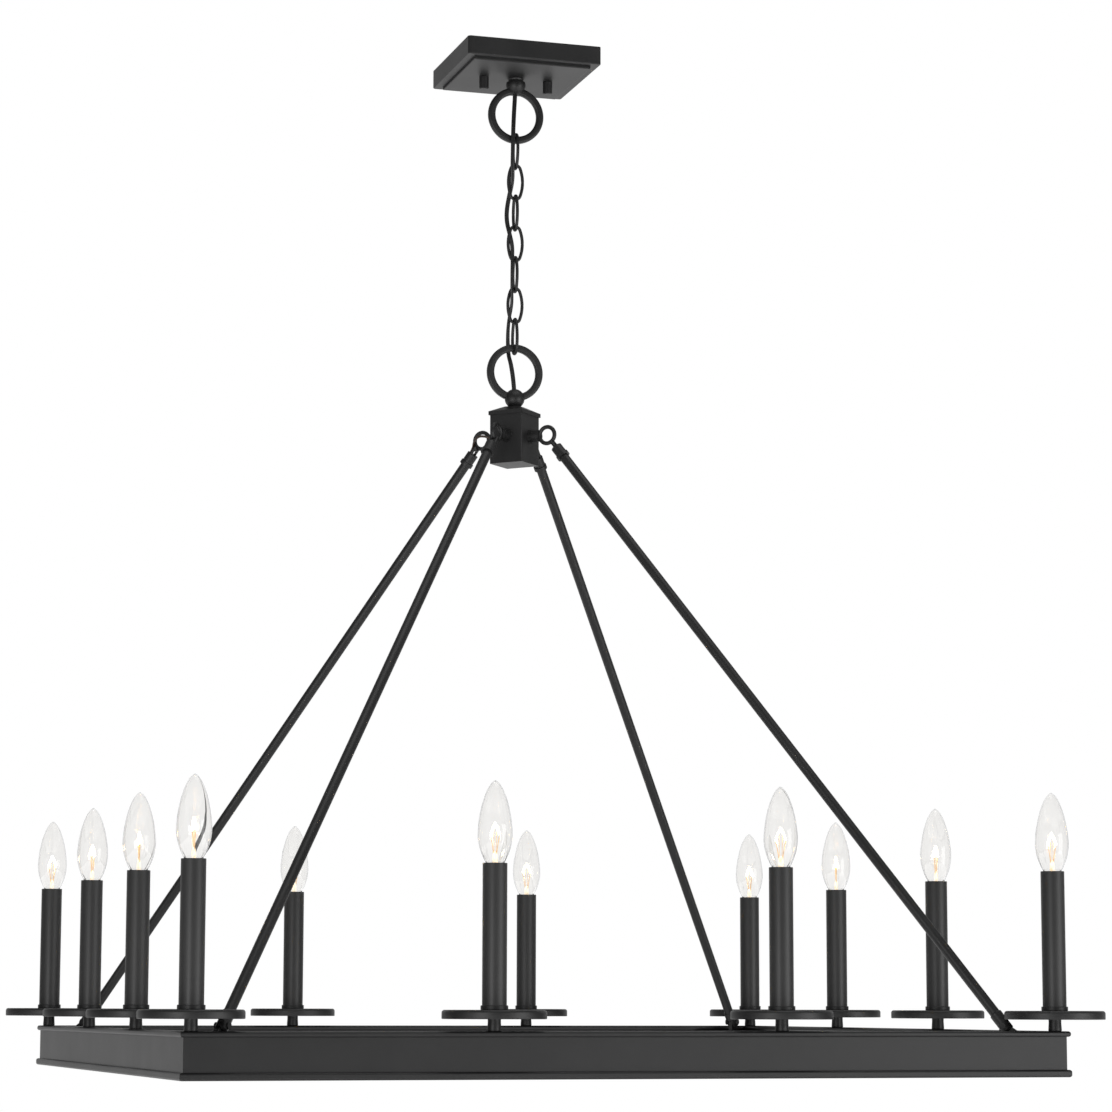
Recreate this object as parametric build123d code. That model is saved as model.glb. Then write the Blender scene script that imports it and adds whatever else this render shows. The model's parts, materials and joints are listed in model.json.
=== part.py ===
"""A square frame chandelier that hangs on a chain, with candle lamps all round its frame.

Millimetres. The ceiling is the plane z = 0 and +Z points up, so every piece lies below zero. +X runs to the
right along the front rail and +Y runs to the back. The hub is turned 45 degrees to the frame, so its faces
look at the frame's corners, where the rods end.
"""

from build123d import *
import math
import os

# Clearances
seat_gap = 0.1  # round a fixed piece in its hole
turn_gap = 0.15  # round a piece that turns on a stud or in a socket
hang_gap = 0.3  # between links, hooks and eyes that hang in one another
ring_gap = 0.55  # between a link's wide end and the flat face of a ring
rest_gap = 0.3  # between a turning knob and the panel it is screwed up to

# Overall
candle_pitch = 273.0
candles_per_side = 4
total_drop = 1056.0  # ceiling to the underside of the rails

# Canopy
canopy_side = 143.5
canopy_height = 19.0
canopy_sheet = 1.5
canopy_corner_radius = 3.0
canopy_edge_radius = 1.0
panel_side = 125.5
panel_drop = 3.0
knob_spacing = 69.85
knob_diameter = 10.0
knob_length = 13.0
knob_bore_depth = 9.0
knob_edge = 0.8
stud_diameter = 4.2
stud_hole = 5.0

# Crossbar on the ceiling box
crossbar_length = 112.0
crossbar_width = 22.0
crossbar_thickness = 2.5
box_screw_spacing = 88.9
box_slot_length = 11.0
box_slot_width = 4.8
ground_screw_diameter = 3.4
ground_screw_head = 7.0
ground_screw_head_height = 2.4
ground_screw_length = 6.0
ground_screw_place = 18.0

# Threaded tube and its nuts, the same size in canopy, hub and candles
nipple_diameter = 9.8
nipple_bore = 6.6
locknut_width = 15.0
locknut_thickness = 4.0

# Screw collar under the canopy
collar_top_diameter = 26.0
collar_bottom_diameter = 18.8
collar_lip = 0.8
collar_height = 3.2

# Rings with their balls
ring_diameter = 60.0
ring_width = 7.4
ring_depth = 7.0
ring_chamfer = 2.2
ball_diameter = 20.6
ball_flat = 3.4  # upper ball: centre to the flat under the collar
ball_seat = 8.6  # lower ball: centre to the flat on the hub cap
upper_ball_offset = 32.7  # ball centre to ring centre
lower_ball_offset = 27.5
cord_hole = 6.4

# Chain
link_count = 7
link_length = 39.9
link_wire = 3.3
link_end_radius = 5.4  # at the middle of the wire
link_side_radius = 42.7
link_ring_end = 6.0  # inner radius of the end that holds a ring

# Hub
hub_side = 38.0
hub_height = 51.2
hub_wall = 2.5
hub_edge = 1.2
hub_base_thickness = 2.5
cap_overhang = 1.0
cap_rim = 4.0
cap_rise = 6.0
cap_top_side = 15.0
hub_turn = 45.0

# Eye bolts on the hub
eye_drop = 22.7  # cap to eye centre
eye_reach = 38.5  # hub axis to eye centre
eye_radius = 8.6  # at the middle of the wire
eye_wire = 4.2
eye_flange_diameter = 14.0
eye_flange = 2.2
eye_neck_diameter = 12.0
eye_shank_diameter = 5.0
eye_nut_width = 9.0
eye_nut_thickness = 3.2
eye_shank_end = 1.0  # past the nut

# Rods with their ends
rod_diameter = 10.0
rod_bore = 7.0
hook_wire = 2.8
hook_length = 14.0  # ferrule face to the inside of the hook's bend
ferrule_diameter = 11.8
ferrule_length = 14.0
ferrule_rim_diameter = 13.8
ferrule_rim = 4.0
ferrule_bore = 5.0  # for the wires
ferrule_socket = 8.0
hook_socket = 4.0
fork_diameter = 12.0
fork_reach = 16.0
fork_socket = 5.0
lug_thickness = 4.0
lug_radius = 5.2
lug_toe = 20.0  # how far the lug runs out towards the corner
pin_diameter = 4.0
pin_head = 6.4
pin_head_height = 1.4
pin_inset = 35.0  # candle axis to foot pin, along both rails
pin_height = 4.5  # above the rails
gusset_leg = 66.0
gusset_thickness = 3.0

# Rails
rail_width = 16.0
rail_height = 42.5
rail_wall = 1.6
bead_height = 5.2
bead_overhang = 3.0
flange_height = 6.9
flange_overhang = 3.4
moulding_radius = 2.2
rail_web = 2.0
cover_thickness = 1.5

# Candles
stem_diameter = 12.6
stem_height = 10.7  # rail to the rim of the drip plate
plate_diameter = 94.0
plate_rim = 8.1
plate_sheet = 1.5
plate_edge_radius = 2.6
cup_diameter = 24.8
cup_height = 4.0
cup_floor = 1.2
sleeve_diameter = 22.2
sleeve_wall = 1.0
sleeve_length = 129.0
socket_diameter = 15.6
socket_wall = 1.6
socket_length = 30.0
socket_depth = 25.0
socket_set_back = 5.0  # below the top of the sleeve
bulb_base_diameter = 11.9
bulb_base_length = 15.0
bulb_neck_diameter = 13.0
bulb_neck_drop = 3.0  # glass starts this far below the top of the sleeve
bulb_diameter = 31.4
bulb_belly = 26.0  # widest place, above the top of the sleeve
bulb_height = 73.8  # tip above the top of the sleeve
bulb_tip_radius = 3.4
bulb_swell_steps = 4  # flat strips below the widest place
bulb_taper_steps = 6  # flat strips above it

# Cords
cord_diameter = 3.2
lead_diameter = 2.4
lead_side = 9.0  # beside the eye bolt on the hub's face
lead_entry = 3.5  # beside the rod's axis in the ferrule's top
lead_corner = "back_left"
arc_share = 0.45  # of the shorter run, for each rounded corner of a cord

# Heights, from the ceiling down
panel_bottom = -(canopy_height + panel_drop)
collar_bottom = panel_bottom - collar_height
upper_ball_z = collar_bottom - ball_flat
upper_ring_z = upper_ball_z - upper_ball_offset
ring_inner = ring_diameter / 2 - ring_width
wire_half = link_wire / 2
link_span = link_length - link_wire  # between the middles of a link's two ends
first_link_top = upper_ring_z - ring_inner + ring_gap + wire_half
link_step = link_span - link_wire - hang_gap
link_tops = [first_link_top - link_step * index for index in range(link_count)]
link_bottoms = [top - link_span for top in link_tops]
lower_ring_z = link_bottoms[-1] + wire_half + ring_gap - ring_inner
lower_ball_z = lower_ring_z - lower_ball_offset
cap_top = lower_ball_z - ball_seat
cap_rim_top = cap_top - cap_rise
cap_bottom = cap_rim_top - cap_rim
hub_bottom = cap_bottom - hub_height
eye_z = cap_bottom - eye_drop
rail_bottom = -total_drop
rail_top = rail_bottom + rail_height
plate_bottom = rail_top + stem_height
plate_top = plate_bottom + plate_rim
cup_seat = plate_top + cup_floor
sleeve_top = cup_seat + sleeve_length
socket_top = sleeve_top - socket_set_back

# Places round the frame
corner = candle_pitch * (candles_per_side - 1) / 2
candle_places = []
for step in range(candles_per_side - 1):
    along = -corner + candle_pitch * step
    candle_places += [(along, -corner), (corner, along), (-along, corner), (-corner, -along)]
corner_angles = {"back_right": 45.0, "back_left": 135.0, "front_left": 225.0, "front_right": 315.0}

# The rods' slope, in the upright plane through the hub and a corner
pin_radius = (corner - pin_inset) * math.sqrt(2)
pin_z = rail_top + pin_height
rod_run = pin_radius - eye_reach
rod_fall = eye_z - pin_z
rod_length = math.hypot(rod_run, rod_fall)
rod_axis = (rod_run / rod_length, 0, -rod_fall / rod_length)
hook_bend = eye_radius - eye_wire / 2 - hang_gap - hook_wire / 2  # eye centre to the hook's bend
hook_radius = eye_wire / 2 + hang_gap + hook_wire / 2
ferrule_start = hook_bend - hook_wire / 2 + hook_length


def cylinder(diameter, low, high, place=(0, 0)):
    """An upright cylinder between two heights."""
    return Pos(place[0], place[1], low) * Cylinder(
        diameter / 2, high - low, align=(Align.CENTER, Align.CENTER, Align.MIN)
    )


def tube(outer, inner, low, high, place=(0, 0)):
    """An upright cylinder with a through bore."""
    return cylinder(outer, low, high, place) - cylinder(inner, low, high, place)


def square_block(side, low, high):
    """A square block about the Z axis, between two heights."""
    return Pos(0, 0, low) * Box(side, side, high - low, align=(Align.CENTER, Align.CENTER, Align.MIN))


def hex_nut(width, bore, low, high, place=(0, 0)):
    """A hexagon nut, width across its flats, with a plain bore."""
    prism = extrude(RegularPolygon(width / 2, 6, major_radius=False), high - low)
    return Pos(place[0], place[1], low) * prism - cylinder(bore, low, high, place)


def turned(*points):
    """A solid turned about Z from a profile of (radius, height) points."""
    return revolve(Plane.XZ * make_face(Polyline(*points, close=True)), Axis.Z)


def wire_arc(centre, radius, start, sweep_angle, wire):
    """A round wire bent in the XZ plane about a centre, from one angle (from +X towards +Z) to another."""
    outward = Vector(math.cos(start), 0, math.sin(start))
    along = Vector(-math.sin(start), 0, math.cos(start))
    middle = Vector(centre[0], 0, centre[1])
    section = Plane(origin=middle + outward * radius, x_dir=outward, z_dir=along) * Circle(wire / 2)
    return revolve(section, Axis(middle, (0, -1, 0)), math.degrees(sweep_angle))


def group(solids):
    """Separate solids as one node."""
    return Compound(children=list(solids))


def around(solid):
    """Copies of a solid that is built towards +X, one towards each corner of the frame."""
    return {name: Rot(0, 0, angle) * solid for name, angle in corner_angles.items()}


def write(name, shape):
    """Write one node's file."""
    export_step(shape, os.path.join("parts", name + ".step"))


def loop_casting(ring_z, ball_z, flat_z):
    """A flat-faced ring and its ball, cast in one: the ball is cut flat where it meets the next piece."""
    section = chamfer(Rectangle(ring_width, ring_depth).vertices(), ring_chamfer)
    middle = ring_diameter / 2 - ring_width / 2
    ring = revolve(
        Plane(origin=(middle, 0, ring_z), x_dir=(1, 0, 0), z_dir=(0, 0, 1)) * section,
        Axis((0, 0, ring_z), (0, 1, 0)),
    )
    outward = 1 if ball_z > ring_z else -1
    ball = Pos(0, 0, ball_z) * Sphere(ball_diameter / 2)
    cut_off = Pos(0, 0, flat_z) * Box(
        ball_diameter,
        ball_diameter,
        ball_diameter,
        align=(Align.CENTER, Align.CENTER, Align.MIN if outward > 0 else Align.MAX),
    )
    near, far = sorted((ring_z + outward * ring_inner / 2, flat_z + outward * ball_diameter))
    thread_low, thread_high = sorted((ball_z, flat_z + outward * ball_diameter))
    return (
        ring
        + ball
        - cut_off
        - cylinder(cord_hole, near, far)
        - cylinder(nipple_diameter + 2 * seat_gap, thread_low, thread_high)
    )


def chain_link(index):
    """An oval link of round wire: two end arcs and two long side arcs, tangent all round.

    The first and last links have one wider end, which takes a ring. Odd links lie across the rings.
    """
    wide = link_ring_end + wire_half
    top_radius = wide if index == 0 else link_end_radius
    bottom_radius = wide if index == link_count - 1 else link_end_radius
    top_middle = link_tops[index] - top_radius
    bottom_middle = link_bottoms[index] + bottom_radius
    reach_top = link_side_radius - top_radius
    reach_bottom = link_side_radius - bottom_radius
    gap = top_middle - bottom_middle
    rise = (gap * gap + reach_bottom**2 - reach_top**2) / (2 * gap)
    side_middle = bottom_middle + rise
    side_offset = math.sqrt(reach_bottom**2 - rise**2)
    upper = math.atan2(top_middle - side_middle, side_offset)
    lower = math.atan2(bottom_middle - side_middle, side_offset)
    link = wire_arc((-side_offset, side_middle), link_side_radius, lower, upper - lower, link_wire)
    link += wire_arc((0, top_middle), top_radius, upper, math.pi - 2 * upper, link_wire)
    link += wire_arc(
        (side_offset, side_middle), link_side_radius, math.pi - upper, upper - lower, link_wire
    )
    link += wire_arc((0, bottom_middle), bottom_radius, math.pi - lower, math.pi + 2 * lower, link_wire)
    across = index % 2 == 0
    return Rot(0, 0, 90) * link if across else link


def canopy_pan():
    """A square pressed pan, open above, with a raised square panel below."""
    skirt = square_block(canopy_side, -canopy_height, 0)
    skirt = fillet(skirt.edges().filter_by(Axis.Z), canopy_corner_radius)
    skirt = fillet(skirt.faces().sort_by(Axis.Z)[0].edges(), canopy_edge_radius)
    panel = square_block(panel_side, panel_bottom, -canopy_height)
    panel = fillet(panel.faces().sort_by(Axis.Z)[0].edges(), canopy_edge_radius)
    pan = skirt + panel
    pan -= square_block(canopy_side - 2 * canopy_sheet, -(canopy_height - canopy_sheet), 0)
    pan -= square_block(panel_side - 2 * canopy_sheet, panel_bottom + canopy_sheet, 0)
    pan -= cylinder(nipple_diameter + 2 * seat_gap, panel_bottom, 0)
    for side in (-1, 1):
        pan -= cylinder(stud_hole, panel_bottom, 0, (side * knob_spacing / 2, 0))
    return pan


def crossbar():
    """A flat strap with two slots for the ceiling box, and holes for tube, studs and ground screw."""
    strap = Pos(0, 0, -crossbar_thickness / 2) * Box(crossbar_length, crossbar_width, crossbar_thickness)
    strap = fillet(strap.edges().filter_by(Axis.Z), crossbar_width / 4)
    slot = extrude(SlotOverall(box_slot_length, box_slot_width), -crossbar_thickness)
    for side in (-1, 1):
        strap -= Pos(side * box_screw_spacing / 2, 0, 0) * slot
        stud_place = (side * knob_spacing / 2, 0)
        strap -= cylinder(stud_diameter + 2 * seat_gap, -crossbar_thickness, 0, stud_place)
    strap -= cylinder(nipple_diameter + 2 * seat_gap, -crossbar_thickness, 0)
    strap -= cylinder(ground_screw_diameter + 2 * seat_gap, -crossbar_thickness, 0, (ground_screw_place, 0))
    return strap


def ground_screw():
    """A pan-head screw under the crossbar."""
    head_bottom = -crossbar_thickness - ground_screw_head_height
    place = (ground_screw_place, 0)
    head = cylinder(ground_screw_head, head_bottom, -crossbar_thickness, place)
    return head + cylinder(ground_screw_diameter, head_bottom, head_bottom + ground_screw_length, place)


def knob(side):
    """A cylindrical cap nut on a stud, screwed up to the panel."""
    place = (side * knob_spacing / 2, 0)
    top = panel_bottom - rest_gap
    body = cylinder(knob_diameter, top - knob_length, top, place)
    body = chamfer(body.faces().sort_by(Axis.Z)[0].edges(), knob_edge)
    return body - cylinder(stud_diameter + 2 * turn_gap, top - knob_bore_depth, top, place)


def crossbar_stud(side):
    """A threaded stud from the crossbar down into its knob."""
    low = panel_bottom - rest_gap - knob_bore_depth + rest_gap
    return cylinder(stud_diameter, low, 0, (side * knob_spacing / 2, 0))


def screw_collar():
    """A flared ring on the threaded tube, which holds the canopy up."""
    bore = nipple_diameter / 2 + seat_gap
    return turned(
        (bore, panel_bottom),
        (collar_top_diameter / 2, panel_bottom),
        (collar_top_diameter / 2, panel_bottom - collar_lip),
        (collar_bottom_diameter / 2, collar_bottom),
        (bore, collar_bottom),
    )


def hub_cap():
    """A square lid with a rim and a low pyramid up to the ball."""
    rim_side = hub_side + 2 * cap_overhang
    rim = square_block(rim_side, cap_bottom, cap_rim_top)
    slope = loft(
        [
            Plane(origin=(0, 0, cap_rim_top)) * Rectangle(rim_side, rim_side),
            Plane(origin=(0, 0, cap_top)) * Rectangle(cap_top_side, cap_top_side),
        ]
    )
    return rim + slope - cylinder(nipple_diameter + 2 * seat_gap, cap_bottom, cap_top)


def hub_body():
    """A square box, closed above and open below, with holes for the tube, the eye bolts and one lead."""
    box = square_block(hub_side, hub_bottom, cap_bottom)
    box = fillet(box.edges().filter_by(Axis.Z), hub_edge)
    box -= square_block(hub_side - 2 * hub_wall, hub_bottom, cap_bottom - hub_wall)
    box -= cylinder(nipple_diameter + 2 * seat_gap, cap_bottom - hub_wall, cap_bottom)
    hole = Plane(origin=(0, 0, eye_z), z_dir=(1, 0, 0)) * Cylinder(
        eye_shank_diameter / 2 + seat_gap, hub_side / 2, align=(Align.CENTER, Align.CENTER, Align.MIN)
    )
    for quarter in range(4):
        box -= Rot(0, 0, 90 * quarter) * hole
    lead_hole = Plane(origin=(0, lead_side, eye_z), z_dir=(1, 0, 0)) * Cylinder(
        lead_diameter / 2 + seat_gap, hub_side / 2, align=(Align.CENTER, Align.CENTER, Align.MIN)
    )
    box -= Rot(0, 0, corner_angles[lead_corner] - hub_turn) * lead_hole
    return box


def hub_base():
    """A plate that closes the hub below, flush with its edge."""
    inside = hub_side - 2 * hub_wall - 2 * seat_gap
    return square_block(inside, hub_bottom, hub_bottom + hub_base_thickness)


def along_x(diameter, start, end):
    """A level cylinder at the eye's height, between two distances from the hub axis."""
    return Plane(origin=(start, 0, eye_z), z_dir=(1, 0, 0)) * Cylinder(
        diameter / 2, end - start, align=(Align.CENTER, Align.CENTER, Align.MIN)
    )


def hub_eye():
    """An eye bolt towards +X: a ring on a shouldered neck, and a shank through the hub's wall."""
    face = hub_side / 2
    inside = face - hub_wall - eye_nut_thickness - eye_shank_end
    ring = wire_arc((eye_reach, eye_z), eye_radius, 0, 2 * math.pi, eye_wire)
    neck = along_x(eye_neck_diameter, face, eye_reach - eye_radius)
    flange = along_x(eye_flange_diameter, face, face + eye_flange)
    shank = along_x(eye_shank_diameter, inside, face)
    return ring + neck + flange + shank


def eye_nut():
    """A nut on the eye bolt's shank, inside the hub."""
    inner_face = hub_side / 2 - hub_wall
    prism = extrude(RegularPolygon(eye_nut_width / 2, 6, major_radius=False), eye_nut_thickness)
    nut = Plane(origin=(inner_face - eye_nut_thickness, 0, eye_z), z_dir=(1, 0, 0)) * prism
    return nut - along_x(eye_shank_diameter + 2 * seat_gap, 0, inner_face)


def on_rod(distance):
    """A plane square to the rod, a distance from the eye's centre down the rod, where y = 0."""
    place = Vector(eye_reach, 0, eye_z) + Vector(rod_axis) * distance
    return Plane(origin=place, x_dir=(0, 1, 0), z_dir=rod_axis)


def rod_cylinder(diameter, start, end):
    """A cylinder on the rod's axis between two distances from the eye's centre."""
    return on_rod(start) * Cylinder(
        diameter / 2, end - start, align=(Align.CENTER, Align.CENTER, Align.MIN)
    )


def rod():
    """A straight tube from the ferrule's socket to the fork's socket."""
    start = ferrule_start + ferrule_length - ferrule_socket
    end = rod_length - fork_reach + fork_socket
    return rod_cylinder(rod_diameter, start, end) - rod_cylinder(rod_bore, start, end)


def rod_ferrule(takes_lead):
    """A turned cap on the rod's upper end: a rim below, holes for the hook above, and one for a lead."""
    end = ferrule_start + ferrule_length
    cap = rod_cylinder(ferrule_diameter, ferrule_start, end)
    cap += rod_cylinder(ferrule_rim_diameter, end - ferrule_rim, end)
    cap -= rod_cylinder(rod_diameter + 2 * seat_gap, end - ferrule_socket, end)
    cap -= rod_cylinder(ferrule_bore, ferrule_start + hook_socket, end)
    for side in (-1, 1):
        hole = on_rod(ferrule_start) * Pos(side * hook_radius, 0, 0)
        cap -= hole * Cylinder(
            hook_wire / 2 + seat_gap, hook_socket, align=(Align.CENTER, Align.CENTER, Align.MIN)
        )
    if takes_lead:
        hole = on_rod(ferrule_start) * Pos(0, lead_entry, 0)
        cap -= hole * Cylinder(
            lead_diameter / 2 + seat_gap,
            ferrule_length - ferrule_socket,
            align=(Align.CENTER, Align.CENTER, Align.MIN),
        )
    return cap


def rod_hook():
    """A U of wire through the eye, with its two legs in the ferrule."""
    bend = on_rod(hook_bend + hook_radius)
    section = Pos(hook_radius, 0, 0) * Circle(hook_wire / 2)
    crown = revolve(section, Axis((0, 0, 0), (0, -1, 0)), 180)
    hook = bend * crown
    legs_start = hook_bend + hook_radius
    legs_end = ferrule_start + hook_socket
    for side in (-1, 1):
        leg = on_rod(legs_start) * Pos(side * hook_radius, 0, 0)
        hook += leg * Cylinder(
            hook_wire / 2, legs_end - legs_start, align=(Align.CENTER, Align.CENTER, Align.MIN)
        )
    return hook


def rod_fork():
    """A forked foot on the rod's lower end, slotted for the lug and bored for the pin."""
    start = rod_length - fork_reach
    end = rod_length + fork_diameter / 2
    fork = rod_cylinder(fork_diameter, start, end)
    fork = chamfer(fork.edges().filter_by(GeomType.CIRCLE), fork_diameter / 8)
    fork -= rod_cylinder(rod_diameter + 2 * seat_gap, start, start + fork_socket)
    slot_start = rod_length - fork_diameter / 2 - seat_gap
    slot = on_rod(slot_start) * Box(
        lug_thickness + 2 * hang_gap,
        fork_diameter,
        end - slot_start,
        align=(Align.CENTER, Align.CENTER, Align.MIN),
    )
    return fork - slot - pin_cylinder(pin_diameter + 2 * seat_gap, fork_diameter)


def pin_cylinder(diameter, length):
    """A level cylinder on the foot pin's axis, across the rod's plane."""
    return Plane(origin=(pin_radius, 0, pin_z), z_dir=(0, 1, 0)) * Cylinder(diameter / 2, length)


def foot_pin():
    """The pin through fork and lug, with a head at each end."""
    pin = pin_cylinder(pin_diameter, fork_diameter)
    for side in (-1, 1):
        offset = side * (fork_diameter + pin_head_height) / 2
        pin += Pos(0, offset, 0) * pin_cylinder(pin_head, pin_head_height)
    return pin


def corner_bracket():
    """A gusset across the inside of a corner, with an upright lug for the rod's foot."""
    inner_corner = (corner - rail_width / 2) * math.sqrt(2)
    half = gusset_leg / math.sqrt(2)
    gusset_top = rail_top - bead_height
    outline = make_face(
        Polyline((inner_corner, 0), (inner_corner - half, half), (inner_corner - half, -half), close=True)
    )
    plate = Pos(0, 0, gusset_top) * extrude(outline, -gusset_thickness)
    toe = pin_radius + lug_toe
    heel = pin_radius - lug_radius
    side = make_face(
        Polyline(
            (heel, gusset_top),
            (toe, gusset_top),
            (pin_radius + lug_radius, pin_z),
            (heel, pin_z),
            close=True,
        )
    )
    side += Pos(pin_radius, pin_z) * Circle(lug_radius)
    lug = extrude(Plane.XZ * side, lug_thickness / 2, both=True)
    return plate + lug - pin_cylinder(pin_diameter + 2 * seat_gap, fork_diameter)


def rail_section():
    """The rail's profile: an open channel with a bead along its top and a flange along its foot."""
    wide = rail_width / 2
    bead = wide + bead_overhang
    flange = wide + flange_overhang
    outline = make_face(
        Polyline(
            (-flange, 0),
            (flange, 0),
            (flange, flange_height),
            (wide, flange_height),
            (wide, rail_height - bead_height),
            (bead, rail_height - bead_height),
            (bead, rail_height),
            (-bead, rail_height),
            (-bead, rail_height - bead_height),
            (-wide, rail_height - bead_height),
            (-wide, flange_height),
            (-flange, flange_height),
            close=True,
        )
    )
    proud = wide + min(bead_overhang, flange_overhang) / 2
    outline = fillet([vertex for vertex in outline.vertices() if abs(vertex.X) > proud], moulding_radius)
    inner = wide - rail_wall
    channel = Rectangle(2 * inner, rail_height - rail_web, align=(Align.CENTER, Align.MIN))
    return outline - channel


def front_rail():
    """The front rail, mitred at both ends, with holes for the candles' threaded tubes."""
    reach = corner + rail_width / 2 + flange_overhang
    end_plane = Plane(origin=(-reach, -corner, rail_bottom), x_dir=(0, 1, 0), z_dir=(1, 0, 0))
    bar = extrude(end_plane * rail_section(), 2 * reach)
    mitre = make_face(Polyline((0, 0), (-2 * corner, -2 * corner), (2 * corner, -2 * corner), close=True))
    bar &= Pos(0, 0, rail_bottom) * extrude(mitre, rail_height)
    for step in range(candles_per_side):
        place = (-corner + candle_pitch * step, -corner)
        bar -= cylinder(nipple_diameter + 2 * seat_gap, rail_bottom + flange_height, rail_top, place)
    return bar


def rail_cover():
    """A strip that closes the front rail below, mitred at both ends."""
    half = rail_width / 2 - rail_wall - seat_gap
    strip = make_face(
        Polyline(
            (-corner - half, -corner - half),
            (corner + half, -corner - half),
            (corner - half, -corner + half),
            (-corner + half, -corner + half),
            close=True,
        )
    )
    return Pos(0, 0, rail_bottom) * extrude(strip, cover_thickness)


def candle_stem(place):
    """A short tube between rail and drip plate."""
    return tube(stem_diameter, nipple_diameter + 2 * seat_gap, rail_top, plate_top - plate_sheet, place)


def drip_plate(place):
    """A flat pan with a rounded, turned-down rim."""
    bore = nipple_diameter / 2 + seat_gap
    edge = plate_diameter / 2
    inner = edge - plate_sheet
    line = Polyline(
        (edge, plate_top - plate_edge_radius),
        (edge, plate_bottom),
        (inner, plate_bottom),
        (inner, plate_top - plate_sheet),
        (bore, plate_top - plate_sheet),
        (bore, plate_top),
        (edge - plate_edge_radius, plate_top),
    )
    round_edge = RadiusArc(line @ 1, line @ 0, plate_edge_radius)
    plate = revolve(Plane.XZ * make_face(line + round_edge), Axis.Z)
    return Pos(place[0], place[1], 0) * plate


def candle_cup(place):
    """A shallow cup that centres the sleeve on the plate."""
    bore = nipple_diameter / 2 + seat_gap
    inner = sleeve_diameter / 2 + seat_gap
    cup = turned(
        (bore, plate_top),
        (cup_diameter / 2, plate_top),
        (cup_diameter / 2, plate_top + cup_height),
        (inner, plate_top + cup_height),
        (inner, cup_seat),
        (bore, cup_seat),
    )
    return Pos(place[0], place[1], 0) * cup


def candle_sleeve(place):
    """The candle's plain tube."""
    return tube(sleeve_diameter, sleeve_diameter - 2 * sleeve_wall, cup_seat, sleeve_top, place)


def lamp_socket(place):
    """A lamp socket, open above, on the threaded tube."""
    body = cylinder(socket_diameter, socket_top - socket_length, socket_top, place)
    return body - cylinder(socket_diameter - 2 * socket_wall, socket_top - socket_depth, socket_top, place)


def candle_nipple(place):
    """The threaded tube from the rail's channel to the socket, with a square nut under the web."""
    nut_top = rail_top - rail_web
    nut_low = nut_top - locknut_thickness
    nut_width = rail_width - 2 * rail_wall - 2 * seat_gap
    thread = cylinder(nipple_diameter, nut_low, socket_top - socket_length, place)
    thread += Pos(place[0], place[1], 0) * square_block(nut_width, nut_low, nut_top)
    return thread - cylinder(nipple_bore, nut_low, socket_top - socket_length, place)


def bulb(place):
    """A torpedo-shaped lamp: glass that swells and tapers as two parabolas, and its screw base."""
    glass_low = sleeve_top - bulb_neck_drop
    belly = sleeve_top + bulb_belly
    tip = sleeve_top + bulb_height
    shoulder = tip - bulb_tip_radius / 2
    neck_radius = bulb_neck_diameter / 2
    belly_radius = bulb_diameter / 2
    outline = [(0, glass_low)]
    for step in range(bulb_swell_steps):
        share = step / bulb_swell_steps
        swell = neck_radius + (belly_radius - neck_radius) * (1 - (1 - share) ** 2)
        outline.append((swell, glass_low + (belly - glass_low) * share))
    for step in range(bulb_taper_steps + 1):
        share = step / bulb_taper_steps
        taper = belly_radius - (belly_radius - bulb_tip_radius) * share**2
        outline.append((taper, belly + (shoulder - belly) * share))
    outline.append((bulb_tip_radius / 2, tip - bulb_tip_radius / 8))
    outline.append((0, tip))
    glass = turned(*outline)
    base = cylinder(bulb_base_diameter, glass_low - bulb_base_length, glass_low)
    base = chamfer(base.faces().sort_by(Axis.Z)[0].edges(), bulb_base_diameter / 5)
    return Pos(place[0], place[1], 0) * group([glass, base])


def cord_tube(points, diameter):
    """A tube along straight runs joined by the largest arcs that fit, with its least radius printed."""
    places = [Vector(*point) for point in points]
    runs = [after - before for before, after in zip(places, places[1:])]
    radii = []
    for before, after in zip(runs, runs[1:]):
        half_turn = math.radians(before.get_angle(after)) / 2
        radii.append(arc_share * min(before.length, after.length) / math.tan(half_turn))
    path = FilletPolyline(*places, radius=radii)
    start = Plane(origin=path @ 0, z_dir=path % 0)
    solid = sweep(start * Circle(diameter / 2), path=path)
    expected = math.pi * diameter**2 / 4 * path.length
    share = solid.volume / expected
    print(f"cord {path.length:.1f} long, radii from {min(radii):.1f}, volume {share:.4f} of expected")
    return solid


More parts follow.
